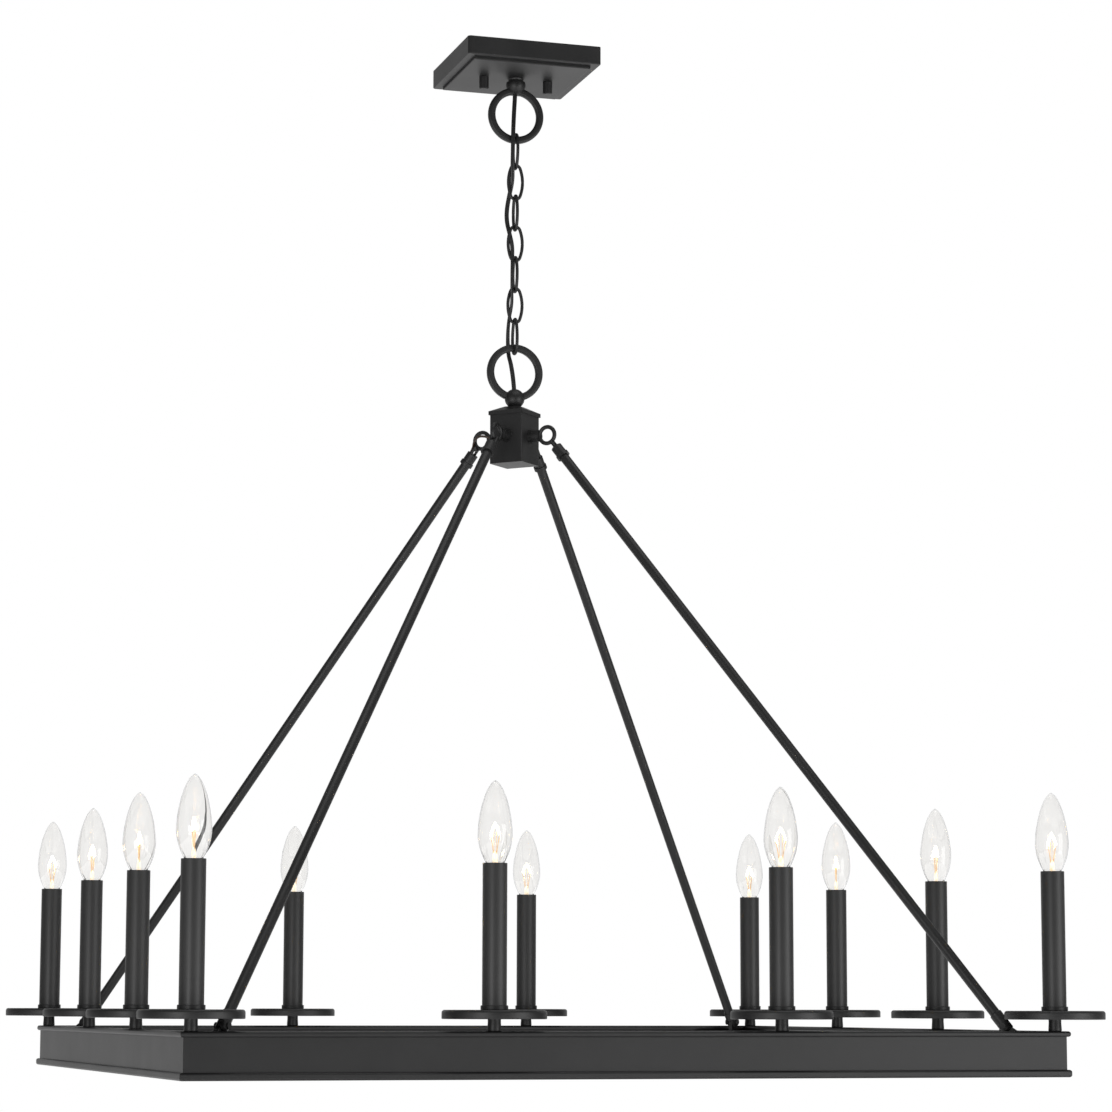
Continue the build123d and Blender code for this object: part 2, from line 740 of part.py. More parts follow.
def supply_cord():
    """The cord that is woven through the chain, from the upper ball's hole down into the lower ball's.

    It hangs in front of the upper ring, goes back through the second link, forward through the fourth and
    back through the sixth, and passes behind the lower ring.
    """
    middles = [(top + bottom) / 2 for top, bottom in zip(link_tops, link_bottoms)]
    upper_rim = upper_ring_z - ring_diameter / 2
    lower_rim = lower_ring_z + ring_diameter / 2
    points = [
        (-0.8, 0.0, upper_ball_z - 2.0),
        (-0.9, -0.2, upper_ring_z + ring_inner - 1.0),
        (-2.6, -2.6, upper_ring_z + 4.0),
        (-4.6, -6.6, upper_rim + 12.0),
        (-4.9, -6.8, upper_rim - 3.0),
        (-4.8, -5.2, middles[1] + 15.0),
        (-3.2, 0.2, middles[1] + 1.0),
        (-5.4, 5.0, middles[1] - 14.0),
        (-7.8, 5.8, middles[2] + 4.0),
        (-7.8, 5.6, middles[2] - 8.0),
        (-5.6, 4.6, middles[3] + 14.0),
        (-3.2, -0.2, middles[3] - 1.0),
        (-4.4, -5.0, middles[3] - 16.0),
        (-5.0, -5.8, middles[4] + 1.0),
        (-4.9, -4.9, middles[5] + 15.0),
        (-3.2, 0.1, middles[5] + 0.5),
        (-5.2, 5.0, middles[5] - 14.0),
        (-5.9, 6.8, middles[6] + 2.0),
        (-5.2, 6.7, lower_rim - 10.0),
        (-3.0, 3.6, lower_ring_z + 10.0),
        (-0.6, 0.6, lower_ball_z + ball_diameter / 2 + 5.0),
        (-0.3, 0.0, lower_ball_z + 2.0),
    ]
    return cord_tube(points, cord_diameter)


def rod_lead():
    """The short lead from one face of the hub to the top of that side's rod, in a loop beside the eye."""
    face = hub_side / 2
    entry = on_rod(ferrule_start) * Pos(0, lead_entry, 0)
    inside = (entry * Pos(0, 0, hook_socket)).position
    above = (entry * Pos(0, 0, -2 * lead_diameter)).position
    points = [
        (face - hub_wall, lead_side, eye_z),
        (face + 5.5, lead_side, eye_z),
        (face + 10.0, lead_side + 1.8, eye_z + 2.4),
        (face + 18.5, lead_side + 1.6, eye_z + 3.0),
        (face + 26.0, lead_side - 2.5, eye_z - 1.5),
        above,
        inside,
    ]
    return Rot(0, 0, corner_angles[lead_corner]) * cord_tube(points, lead_diameter)


def build():
    """Make every piece and write its file."""
    os.makedirs("parts", exist_ok=True)
    nut_low = -crossbar_thickness - locknut_thickness

    write("crossbar", crossbar())
    write("crossbar_studs", group(crossbar_stud(side) for side in (-1, 1)))
    write("ground_screw", ground_screw())
    write("canopy_pan", canopy_pan())
    write("canopy_knob_left", knob(-1))
    write("canopy_knob_right", knob(1))
    write("canopy_nipple", tube(nipple_diameter, nipple_bore, upper_ball_z, 0))
    nut_bore = nipple_diameter + 2 * seat_gap
    write("canopy_locknut", hex_nut(locknut_width, nut_bore, nut_low, -crossbar_thickness))
    write("screw_collar", screw_collar())
    write("upper_loop", loop_casting(upper_ring_z, upper_ball_z, collar_bottom))

    for index in range(link_count):
        write(f"chain_link_{index + 1}", chain_link(index))
    write("supply_cord", supply_cord())

    hub_nut_top = cap_bottom - hub_wall
    write("lower_loop", loop_casting(lower_ring_z, lower_ball_z, cap_top))
    hub_nut_low = hub_nut_top - locknut_thickness
    write("hub_nipple", tube(nipple_diameter, nipple_bore, hub_nut_low - locknut_thickness, lower_ball_z))
    hub_pieces = {
        "hub_cap": hub_cap(),
        "hub_body": hub_body(),
        "hub_base": hub_base(),
        "hub_locknut": hex_nut(locknut_width, nut_bore, hub_nut_low, hub_nut_top),
    }
    for name, shape in hub_pieces.items():
        write(name, Rot(0, 0, hub_turn) * shape)
    write("hub_eyes", group(around(hub_eye()).values()))
    write("eye_nuts", group(around(eye_nut()).values()))

    for name, shape in around(rod()).items():
        write(f"rod_{name}", shape)
    plain_ferrules = around(rod_ferrule(False))
    lead_ferrule = {lead_corner: around(rod_ferrule(True))[lead_corner]}
    write("rod_ferrules", group((plain_ferrules | lead_ferrule).values()))
    write("rod_hooks", group(around(rod_hook()).values()))
    write("rod_forks", group(around(rod_fork()).values()))
    write("foot_pins", group(around(foot_pin()).values()))
    write("corner_brackets", group(around(corner_bracket()).values()))
    write("rod_lead", rod_lead())

    front = front_rail()
    for quarter, name in enumerate(("front", "right", "back", "left")):
        write(f"{name}_rail", Rot(0, 0, 90 * quarter) * front)
    cover = rail_cover()
    write("rail_covers", group(Rot(0, 0, 90 * quarter) * cover for quarter in range(4)))

    write("candle_stems", group(candle_stem(place) for place in candle_places))
    write("drip_plates", group(drip_plate(place) for place in candle_places))
    write("candle_cups", group(candle_cup(place) for place in candle_places))
    write("candle_sleeves", group(candle_sleeve(place) for place in candle_places))
    write("lamp_sockets", group(lamp_socket(place) for place in candle_places))
    write("candle_nipples", group(candle_nipple(place) for place in candle_places))
    for number, place in enumerate(candle_places, 1):
        write(f"bulb_{number:02d}", bulb(place))


build()
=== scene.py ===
"""Dress the square chandelier: smooth chain, rings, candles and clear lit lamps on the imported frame.

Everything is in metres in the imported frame: the ceiling is z = 0, +Z points up, +X runs right along the
front rail and +Y runs to the back. Each sub-assembly is a class that reads its places from the frame.
"""

from __future__ import annotations

import json
import logging
import math
from dataclasses import dataclass, replace
from enum import Enum

import bmesh
import bpy
import numpy as np
from bpy.types import Material, Node, NodeSocket, NodeTree, Object
from mathutils import Matrix, Vector

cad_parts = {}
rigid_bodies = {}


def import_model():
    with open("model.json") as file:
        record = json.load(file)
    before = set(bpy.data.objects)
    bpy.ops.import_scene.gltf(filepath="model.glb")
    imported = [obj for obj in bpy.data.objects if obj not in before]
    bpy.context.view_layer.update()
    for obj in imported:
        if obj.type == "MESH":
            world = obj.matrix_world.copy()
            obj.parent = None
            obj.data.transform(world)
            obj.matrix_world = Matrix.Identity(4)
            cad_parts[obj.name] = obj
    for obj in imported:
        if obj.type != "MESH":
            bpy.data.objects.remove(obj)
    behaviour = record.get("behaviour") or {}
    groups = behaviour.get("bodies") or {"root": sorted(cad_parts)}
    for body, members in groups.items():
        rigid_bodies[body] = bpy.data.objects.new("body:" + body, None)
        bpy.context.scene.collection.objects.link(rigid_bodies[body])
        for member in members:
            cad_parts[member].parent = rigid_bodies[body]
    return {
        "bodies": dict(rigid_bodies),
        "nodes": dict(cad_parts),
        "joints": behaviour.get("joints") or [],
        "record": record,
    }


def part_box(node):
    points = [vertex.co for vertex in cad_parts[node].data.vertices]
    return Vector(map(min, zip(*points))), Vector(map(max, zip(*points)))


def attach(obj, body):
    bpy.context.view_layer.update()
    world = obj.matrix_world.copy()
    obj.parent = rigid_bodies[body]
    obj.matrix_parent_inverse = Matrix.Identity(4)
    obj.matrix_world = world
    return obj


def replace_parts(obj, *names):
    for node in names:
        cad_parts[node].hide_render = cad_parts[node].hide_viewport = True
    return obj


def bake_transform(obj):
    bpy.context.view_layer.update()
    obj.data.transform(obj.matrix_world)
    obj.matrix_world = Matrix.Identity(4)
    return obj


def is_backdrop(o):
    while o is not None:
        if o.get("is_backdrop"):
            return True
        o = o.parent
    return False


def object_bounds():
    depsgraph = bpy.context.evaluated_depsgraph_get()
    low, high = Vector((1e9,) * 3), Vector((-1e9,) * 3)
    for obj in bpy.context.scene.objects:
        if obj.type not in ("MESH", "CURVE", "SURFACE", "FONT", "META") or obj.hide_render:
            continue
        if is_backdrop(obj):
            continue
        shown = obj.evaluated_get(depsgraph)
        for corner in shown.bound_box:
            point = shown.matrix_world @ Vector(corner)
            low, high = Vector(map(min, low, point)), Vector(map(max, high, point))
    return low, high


LOG = logging.getLogger("chandelier")
Array = np.ndarray
Mesh = tuple[Array, Array]
Pair = tuple[float, float]
Triple = tuple[float, float, float]

WHITE = (1.0, 1.0, 1.0, 1.0)
# Most of a noise lies in this range, so a finish runs from one end of its values to the other over it
NOISE_SPAN = (0.3, 0.7)
# Points closer than this are one point, and edges that turn by more degrees than this stay sharp
MERGE_DISTANCE = 1e-7
SHARP_ANGLE = 40.0
LINK_COUNT = 7
# How deep a lamp's glass stands in its sleeve, and how far each lamp is turned from the one before
GLASS_DEPTH = 0.003
LAMP_TURN = 1.7


class Slot(Enum):
    """The record's material slots, by name."""

    BLACK_METAL = "black_metal"
    CLEAR_GLASS = "clear_glass"
    CORD_JACKET = "cord_jacket"
    BRONZE_LEAD = "bronze_lead"


class Body(Enum):
    """The frame's bodies that are named alone; links and lamps are numbered."""

    CANOPY = "canopy"
    PENDANT = "pendant"


# Finishes


def fill(node: Node, *values: object, **named: object) -> Node:
    """Set or link a node's inputs.

    Args:
        node: the node.
        values: a value or a socket for each of its first inputs, in order.
        named: the same for other inputs, by name with an underscore for a space.

    Returns:
        The node.
    """
    pairs = list(zip(node.inputs, values))
    pairs += [(node.inputs[name.replace("_", " ")], value) for name, value in named.items()]
    for socket, value in pairs:
        if isinstance(value, NodeSocket):
            node.id_data.links.new(value, socket)
        else:
            socket.default_value = value
    return node


def add_node(tree: NodeTree, kind: str, *values: object, **named: object) -> Node:
    """Add a node to a tree, by its type without the first word, and fill its inputs."""
    return fill(tree.nodes.new(f"ShaderNode{kind}"), *values, **named)


def compute(tree: NodeTree, kind: str, operation: str, *values: object) -> NodeSocket:
    """Add a node that works one operation out of values or sockets.

    Args:
        tree: the node tree to add to.
        kind: Math or VectorMath.
        operation: what it works out.
        values: what it works on.

    Returns:
        The socket with the result.
    """
    node = add_node(tree, kind, *values)
    node.operation = operation
    return node.outputs["Value"]


class Paint:
    """A material in the making, with its node tree and its shader node."""

    def __init__(self, name: str) -> None:
        """Start the material.

        Args:
            name: its name.
        """
        self.material = bpy.data.materials.new(name)
        self.material.use_nodes = True
        self.tree = self.material.node_tree
        self.shader = self.tree.nodes["Principled BSDF"]

    def noise(
        self, feature: float, detail: float = 3.0, stretch: Triple = (1.0, 1.0, 1.0)
    ) -> NodeSocket:
        """Add a noise on Object coordinates.

        Args:
            feature: the size of one speckle, in metres.
            detail: how many finer layers are added.
            stretch: how much finer the noise is along each axis.

        Returns:
            The socket that holds the noise, from 0 to 1.
        """
        place = add_node(self.tree, "TexCoord").outputs["Object"]
        mapped = add_node(self.tree, "Mapping", Vector=place, Scale=stretch).outputs["Vector"]
        texture = add_node(self.tree, "TexNoise", Vector=mapped, Scale=1.0 / feature, Detail=detail)
        return texture.outputs["Fac"]

    def spread(self, factor: NodeSocket, low: float, high: float) -> NodeSocket:
        """Map a noise onto a range of values.

        Args:
            factor: a socket from 0 to 1.
            low: the value at the noise span's start.
            high: the value at its end.

        Returns:
            The socket with the new range.
        """
        return add_node(self.tree, "MapRange", factor, *NOISE_SPAN, low, high).outputs["Result"]

    def tint(self, factor: NodeSocket, start: Triple, end: Triple, span: Pair = NOISE_SPAN) -> NodeSocket:
        """Map a noise or another factor onto two colours.

        Args:
            factor: a socket from 0 to 1.
            start: the colour at the span's start.
            end: the colour at its end.
            span: where the colours begin and end to mix.

        Returns:
            The colour socket.
        """
        node = add_node(self.tree, "ValToRGB", Fac=factor)
        first, last = node.color_ramp.elements
        first.position, last.position = span
        first.color = (*start, 1.0)
        last.color = (*end, 1.0)
        return node.outputs["Color"]

    def roughen(self, height: NodeSocket, depth: float) -> None:
        """Raise the surface by a noise from 0 to 1, times a depth in metres."""
        bump = add_node(self.tree, "Bump", Strength=1.0, Distance=depth, Height=height)
        fill(self.shader, Normal=bump.outputs["Normal"])


@dataclass(frozen=True)
class Opaque:
    """A coat, plastic or metal: one noise varies colour and sheen, and another raises a fine grain."""

    name: str
    dark: Triple
    light: Triple
    smooth: float = 0.38
    rough: float = 0.52
    patch: float = 0.0018
    grain: float = 0.0018
    grain_depth: float = 0.00003
    detail: float = 3.0
    stretch: Triple = (1.0, 1.0, 1.0)
    metallic: float = 0.0

    def material(self) -> Material:
        """Make the finish.

        Returns:
            The material.
        """
        paint = Paint(self.name)
        patches = paint.noise(self.patch, self.detail, self.stretch)
        fill(paint.shader, Metallic=self.metallic, Base_Color=paint.tint(patches, self.dark, self.light))
        fill(paint.shader, Roughness=paint.spread(patches, self.smooth, self.rough))
        if self.grain_depth > 0.0:
            paint.roughen(paint.noise(self.grain, self.detail), self.grain_depth)
        return paint.material


@dataclass(frozen=True)
class ClearGlass:
    """Blown clear glass with slow waves in its skin, and painted shade: greyer where the view runs along
    its wall.
    """

    name: str = "clear_lamp_glass"
    colour: Triple = (0.940, 0.935, 0.926)
    # edge: the painted shade's grey, which the glass turns towards its outline
    edge: Triple = (0.66, 0.66, 0.67)
    painted_shade_span: Pair = (0.55, 0.95)
    index: float = 1.45
    wave: float = 0.008
    wave_depth: float = 0.00005

    def material(self) -> Material:
        """Make the glass.

        Returns:
            The material.
        """
        paint = Paint(self.name)
        # Painted shade: the Layer Weight's facing greys the glass towards its outline, standing in for
        # dark surroundings seen through its edge
        facing = add_node(paint.tree, "LayerWeight").outputs["Facing"]
        fill(paint.shader, Base_Color=paint.tint(facing, self.colour, self.edge, self.painted_shade_span))
        fill(paint.shader, Transmission_Weight=1.0, IOR=self.index, Roughness=0.0)
        paint.roughen(paint.noise(self.wave, detail=1.0), self.wave_depth)
        return paint.material


@dataclass(frozen=True)
class FilamentGlowAndPaintedGlow:
    """A glowing filament, a little uneven along its length; on the lamp's wires and stem the same glow is
    painted light that stands in for the filament's light on them.
    """

    name: str = "glowing_filament"
    cool: Triple = (1.0, 0.62, 0.28)
    hot: Triple = (1.0, 0.84, 0.60)
    strength: float = 26.0
    patch: float = 0.002
    rough: float = 0.6

    def material(self) -> Material:
        """Make the glow.

        Returns:
            The material.
        """
        paint = Paint(self.name)
        glow_tint = paint.tint(paint.noise(self.patch), self.cool, self.hot)
        fill(paint.shader, Base_Color=glow_tint, Roughness=self.rough)
        fill(paint.shader, Emission_Color=glow_tint, Emission_Strength=self.strength)
        paint.material.cycles.emission_sampling = "NONE"
        return paint.material


class Finishes:
    """Every finish, made once."""

    def __init__(self) -> None:
        """Make the materials."""
        powder = Opaque(
            "black_powder_coat",
            (0.010, 0.010, 0.0102),
            (0.016, 0.016, 0.0163),
            smooth=0.43,
            rough=0.47,
            patch=0.060,
            grain=0.0011,
            grain_depth=0.00004,
            detail=2.0,
        )
        self.coat = powder.material()
        self.sleeve_coat = replace(
            powder,
            name="black_sleeve_coat",
            dark=(0.031, 0.031, 0.031),
            light=(0.038, 0.038, 0.038),
            smooth=0.42,
            rough=0.46,
            stretch=(3.0, 3.0, 0.3),
        ).material()
        self.glass = ClearGlass().material()
        self.filament = FilamentGlowAndPaintedGlow().material()
        # Painted glow: the lamp's wires and stem glow though they are no lamp, standing in for the
        # filament's light falling on them
        self.painted_glow_wire = FilamentGlowAndPaintedGlow(
            name="painted_glow_lamp_wire", cool=(0.50, 0.27, 0.09), hot=(0.88, 0.58, 0.25), strength=0.7
        ).material()
        self.painted_glow_stem = FilamentGlowAndPaintedGlow(
            name="painted_glow_lamp_stem", cool=(0.93, 0.70, 0.42), hot=(1.0, 0.97, 0.92), strength=0.90
        ).material()
        self.brass = Opaque(
            "brass_lamp_base",
            (0.55, 0.38, 0.14),
            (0.72, 0.52, 0.22),
            smooth=0.22,
            rough=0.38,
            patch=0.0006,
            grain_depth=0.0,
            stretch=(1.0, 1.0, 0.2),
            metallic=1.0,
        ).material()
        self.socket = Opaque(
            "black_socket_plastic", (0.018, 0.018, 0.018), (0.032, 0.032, 0.032)
        ).material()
        self.jacket = Opaque(
            "black_cord_jacket", (0.014, 0.014, 0.014), (0.026, 0.026, 0.026), smooth=0.30, rough=0.42
        ).material()
        self.bronze = Opaque(
            "bronze_lead_jacket", (0.035, 0.019, 0.011), (0.075, 0.040, 0.021), smooth=0.25, rough=0.36
        ).material()


# Surfaces worked out as whole arrays


def grid_faces(rows: int, columns: int, wrap_rows: bool = False, wrap_columns: bool = False) -> Array:
    """Index the four-sided faces of a grid of points.

    Args:
        rows: points along the first parameter.
        columns: points along the second parameter.
        wrap_rows: whether the last row joins the first.
        wrap_columns: whether the last column joins the first.

    Returns:
        An array of faces, four indices each.
    """
    row = np.arange(rows if wrap_rows else rows - 1)[:, None]
    column = np.arange(columns if wrap_columns else columns - 1)[None, :]
    next_row = (row + 1) % rows
    next_column = (column + 1) % columns
    corners = [
        row * columns + column,
        row * columns + next_column,
        next_row * columns + next_column,
        next_row * columns + column,
    ]
    return np.stack([corner.ravel() for corner in corners], axis=1)


def lathe(profile: Array, segments: int = 64) -> Mesh:
    """Turn a profile about Z: each (radius, height) pair becomes a ring of points.

    Args:
        profile: radius and height pairs, up the outside and down the inside.
        segments: points round each ring.

    Returns:
        The vertices and faces.
    """
    angle = np.linspace(0.0, 2.0 * math.pi, segments, endpoint=False)
    radius, height = profile[:, :1], profile[:, 1:]
    level = np.broadcast_to(height, (len(profile), segments))
    grid = np.stack([radius * np.cos(angle), radius * np.sin(angle), level], axis=2)
    return grid.reshape(-1, 3), grid_faces(len(profile), segments, wrap_columns=True)


def carried(path: Array, outward: Array, section: Array, closed: bool) -> Mesh:
    """Carry a flat section along a path.

    A point is the path's point plus x times outward plus y times (direction cross outward).

    Args:
        path: the points that the section follows.
        outward: a unit vector square to the path at each point.
        section: x and y of each point of the section, counter-clockwise seen against the direction.
        closed: whether the path ends where it starts.

    Returns:
        The vertices and faces, with flat ends on an open path.
    """
    if closed:
        direction = np.roll(path, -1, axis=0) - np.roll(path, 1, axis=0)
    else:
        direction = np.gradient(path, axis=0)
    direction /= np.linalg.norm(direction, axis=1, keepdims=True)
    outward = outward - direction * np.sum(outward * direction, axis=1, keepdims=True)
    outward /= np.linalg.norm(outward, axis=1, keepdims=True)
    across = np.cross(direction, outward)
    x, y = section[None, :, :1], section[None, :, 1:]
    grid = path[:, None] + x * outward[:, None] + y * across[:, None]
    if not closed:
        ends = np.repeat(path[[0, -1], None], len(section), axis=1)
        grid = np.concatenate([ends[:1], grid, ends[1:]])
    faces = grid_faces(len(grid), len(section), wrap_rows=closed, wrap_columns=True)
    return grid.reshape(-1, 3), faces


def joined(*meshes: Mesh) -> Mesh:
    """Put several shells into one mesh.

    Args:
        meshes: vertices and faces of each shell.

    Returns:
        The vertices and faces together.
    """
    offsets = np.cumsum([0] + [len(vertices) for vertices, _ in meshes[:-1]])
    faces = [shell[1] + offset for shell, offset in zip(meshes, offsets)]
    return np.vstack([shell[0] for shell in meshes]), np.vstack(faces)


def turn_about_z(angle: float) -> Array:
    """The matrix that rows of points are multiplied by to turn them about Z, by an angle in radians."""
    cos, sin = math.cos(angle), math.sin(angle)
    return np.array([[cos, sin, 0.0], [-sin, cos, 0.0], [0.0, 0.0, 1.0]])


def circle(radius: float, count: int = 20) -> Array:
    """A round section: cosine and sine of evenly spaced angles, times the radius."""
    angle = np.linspace(0.0, 2.0 * math.pi, count, endpoint=False)
    return radius * np.stack([np.cos(angle), np.sin(angle)], axis=1)


def rounded_rectangle(width: float, height: float, radius: float, steps: int = 6) -> Array:
    """A rectangle with round corners: each quarter of a small circle is pushed out to its corner.

    Args:
        width: size along x.
        height: size along y.
        radius: the corners' radius.
        steps: points on each corner.

    Returns:
        The section's points.
    """
    angle = (np.arange(4)[:, None] + np.linspace(0.0, 1.0, steps)[None]) * math.pi / 2
    sign_x = np.array([1, -1, -1, 1])[:, None]
    sign_y = np.array([1, 1, -1, -1])[:, None]
    x = sign_x * (width / 2 - radius) + radius * np.cos(angle)
    y = sign_y * (height / 2 - radius) + radius * np.sin(angle)
    return np.stack([x.ravel(), y.ravel()], axis=1)


def arc(centre: Pair, radius: float, start: float, end: float, steps: int = 8) -> Array:
    """Points on an arc of a profile.

    Args:
        centre: the arc's centre.
        radius: its radius.
        start: first angle, in degrees.
        end: last angle, in degrees.
        steps: how many points.

    Returns:
        The points.
    """
    angle = np.radians(np.linspace(start, end, steps))
    return np.stack([centre[0] + radius * np.cos(angle), centre[1] + radius * np.sin(angle)], axis=1)


def add_piece(name: str, mesh: Mesh, material: Material) -> Object:
    """Make an object at the origin, with doubles merged and smooth shading up to an angle.

    Args:
        name: the piece's name.
        mesh: vertices and faces.
        material: its finish.

    Returns:
        The object.
    """
    vertices, faces = mesh
    data = bpy.data.meshes.new(name)
    data.from_pydata(vertices.tolist(), [], faces.tolist())
    work = bmesh.new()
    work.from_mesh(data)
    bmesh.ops.remove_doubles(work, verts=work.verts, dist=MERGE_DISTANCE)
    work.to_mesh(data)
    work.free()
    data.validate()
    data.shade_smooth()
    data.set_sharp_from_angle(angle=math.radians(SHARP_ANGLE))
    data.materials.append(material)
    piece = bpy.data.objects.new(name, data)
    bpy.context.scene.collection.objects.link(piece)
    LOG.info("%s: %d faces", name, len(data.polygons))
    return piece


def middle(node: str) -> Vector:
    """The middle of a node's box."""
    low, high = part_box(node)
    return (low + high) / 2


@dataclass
class Metalwork:
    """The nodes whose CAD shape is right: they keep it and get a finish."""

    finishes: Finishes
    plastic: tuple[str, ...] = ("lamp_sockets",)

    def dress(self, frame: dict) -> None:
        """Give every node a finish.
        """
        for name, node in frame["nodes"].items():
            finish = self.finishes.socket if name in self.plastic else self.finishes.coat
            node.data.materials.clear()
            node.data.materials.append(finish)
        LOG.info("finished %d nodes", len(frame["nodes"]))


@dataclass
class Chain:
    """Oval links of round wire, each with a closed butt seam in one side."""

    finishes: Finishes
    count: int = LINK_COUNT
    wire: float = 0.0033
    wire_points: int = 24
    end_radius: float = 0.0054
    side_radius: float = 0.0427
    ring_end: float = 0.00765
    seam: float = 0.0004
    seam_depth: float = 0.10
    steps: int = 40

    def centreline(self, top: float, bottom: float, upper: float, lower: float) -> tuple[Array, Array]:
        """Four arcs, tangent all round: two ends and two long sides.

        Args:
            top: height of the wire's middle at the top.
            bottom: the same at the bottom.
            upper: radius of the top end.
            lower: radius of the bottom end.

        Returns:
            Points in the XZ plane, and the outward direction at each.
        """
        side = self.side_radius
        first, second = top - upper, bottom + lower
        gap = first - second
        rise = (gap**2 + (side - lower) ** 2 - (side - upper) ** 2) / (2 * gap)
        offset = math.sqrt((side - lower) ** 2 - rise**2)
        level = second + rise
        high = math.atan2(first - level, offset)
        low = math.atan2(second - level, offset)
        parts = [
            (-offset, level, side, low, high),
            (0.0, first, upper, high, math.pi - high),
            (offset, level, side, math.pi - high, math.pi - low),
            (0.0, second, lower, math.pi - low, 2 * math.pi + low),
        ]
        points, outward = [], []
        for x, z, radius, start, end in parts:
            angle = np.linspace(start, end, self.steps, endpoint=False)
            ray = np.stack([np.cos(angle), np.zeros_like(angle), np.sin(angle)], axis=1)
            points.append(np.array([x, 0.0, z]) + radius * ray)
            outward.append(ray)
        return np.vstack(points), np.vstack(outward)

    def build(self) -> None:
        """Make every link in place of its node."""
        for number in range(1, self.count + 1):
            node = f"chain_link_{number}"
            low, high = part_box(node)
            upper = self.ring_end if number == 1 else self.end_radius
            lower = self.ring_end if number == self.count else self.end_radius
            path, outward = self.centreline(high.z - self.wire / 2, low.z + self.wire / 2, upper, lower)
            section = circle(self.wire / 2, self.wire_points)
            vertices, faces = carried(path, outward, section, closed=True)
            offset = vertices - np.repeat(path, self.wire_points, axis=0)
            seam_z = (high.z + low.z) / 2
            dip = np.exp(-(((vertices[:, 2] - seam_z) / self.seam) ** 2)) * (vertices[:, 0] > 0)
            vertices = vertices - offset * (self.seam_depth * dip)[:, None]
            if number % 2 == 1:
                vertices = vertices[:, [1, 0, 2]] * np.array([-1.0, 1.0, 1.0])
            mesh = (vertices, faces)
            piece = add_piece(f"oval_link_{number}", mesh, self.finishes.coat)
            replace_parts(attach(piece, f"link_{number}"), node)


@dataclass
class Loops:
    """The two cast rings, each with its ball."""

    finishes: Finishes
    ring_diameter: float = 0.060
    width: float = 0.0074
    depth: float = 0.0070
    edge: float = 0.0021
    ball: float = 0.0206
    hole: float = 0.0064
    neck_diameter: float = 0.0166
    neck_waist: float = 0.0005
    neck_bore: float = 0.0100
    upper_ball_drop: float = 0.0034
    lower_ball_rise: float = 0.0086
    ring_points: int = 120
    segments: int = 56

    def ring(self, centre: float) -> Mesh:
        """A rounded bar bent round the Y axis.

        Args:
            centre: the ring's height.

        Returns:
            The vertices and faces.
        """
        angle = np.linspace(0.0, 2.0 * math.pi, self.ring_points, endpoint=False)
        ray = np.stack([np.cos(angle), np.zeros_like(angle), np.sin(angle)], axis=1)
        path = np.array([0.0, 0.0, centre]) + (self.ring_diameter - self.width) / 2 * ray
        return carried(path, ray, rounded_rectangle(self.width, self.depth, self.edge), closed=True)

    def ball_shell(self, centre: float, towards_ring: float, flat: float) -> Mesh:
        """A sphere about Z with a cord hole on the ring's side and a flat on the other.

        Args:
            centre: the ball's height.
            towards_ring: +1 if the ring is above the ball, and -1 if it is below.
            flat: the flat's height.

        Returns:
            The vertices and faces.
        """
        radius = self.ball / 2
        start = math.asin((flat - centre) * towards_ring / radius)
        end = math.acos(self.hole / 2 / radius)
        angle = np.linspace(start, end, 30)
        height = centre + towards_ring * radius * np.sin(angle)
        outside = np.stack([radius * np.cos(angle), height], axis=1)
        inside = np.array([[self.hole / 2, centre], [self.hole / 2, flat]])
        profile = np.vstack([[[self.hole / 2, flat]], outside, inside])
        return lathe(profile if towards_ring > 0 else profile[::-1], self.segments)

    def neck(self, low: float, high: float) -> Mesh:
        """Make the neck under the canopy, a tube whose radius loses a waist times a sine of the height.

        Args:
            low: its lower end.
            high: its upper end.

        Returns:
            The vertices and faces.
        """
        share = np.linspace(0.0, 1.0, 12)
        radius = self.neck_diameter / 2 - self.neck_waist * np.sin(math.pi * share)
        outside = np.stack([radius, low + (high - low) * share], axis=1)
        bore = self.neck_bore / 2
        return lathe(np.vstack([[[bore, low]], outside, [[bore, high], [bore, low]]]), self.segments)

    def build(self) -> None:
        """Make both castings and the neck in place of their nodes."""
        upper_low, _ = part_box("upper_loop")
        upper_ring = upper_low.z + self.ring_diameter / 2
        collar_low, collar_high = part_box("screw_collar")
        _, lower_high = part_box("lower_loop")
        lower_ring = lower_high.z - self.ring_diameter / 2
        _, cap_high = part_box("hub_cap")
        upper_ball = collar_low.z - self.upper_ball_drop
        lower_ball = cap_high.z + self.lower_ball_rise
        castings = [
            ("upper", Body.CANOPY, upper_ring, upper_ball, -1.0, collar_low.z),
            ("lower", Body.PENDANT, lower_ring, lower_ball, 1.0, cap_high.z),
        ]
        for name, body, ring_z, ball_z, towards, flat in castings:
            mesh = joined(self.ring(ring_z), self.ball_shell(ball_z, towards, flat))
            piece = add_piece(f"{name}_ring_and_ball", mesh, self.finishes.coat)
            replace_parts(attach(piece, body.value), f"{name}_loop")
        neck = self.neck(collar_low.z, collar_high.z)
        piece = add_piece("canopy_neck", neck, self.finishes.coat)
        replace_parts(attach(piece, Body.CANOPY.value), "screw_collar")


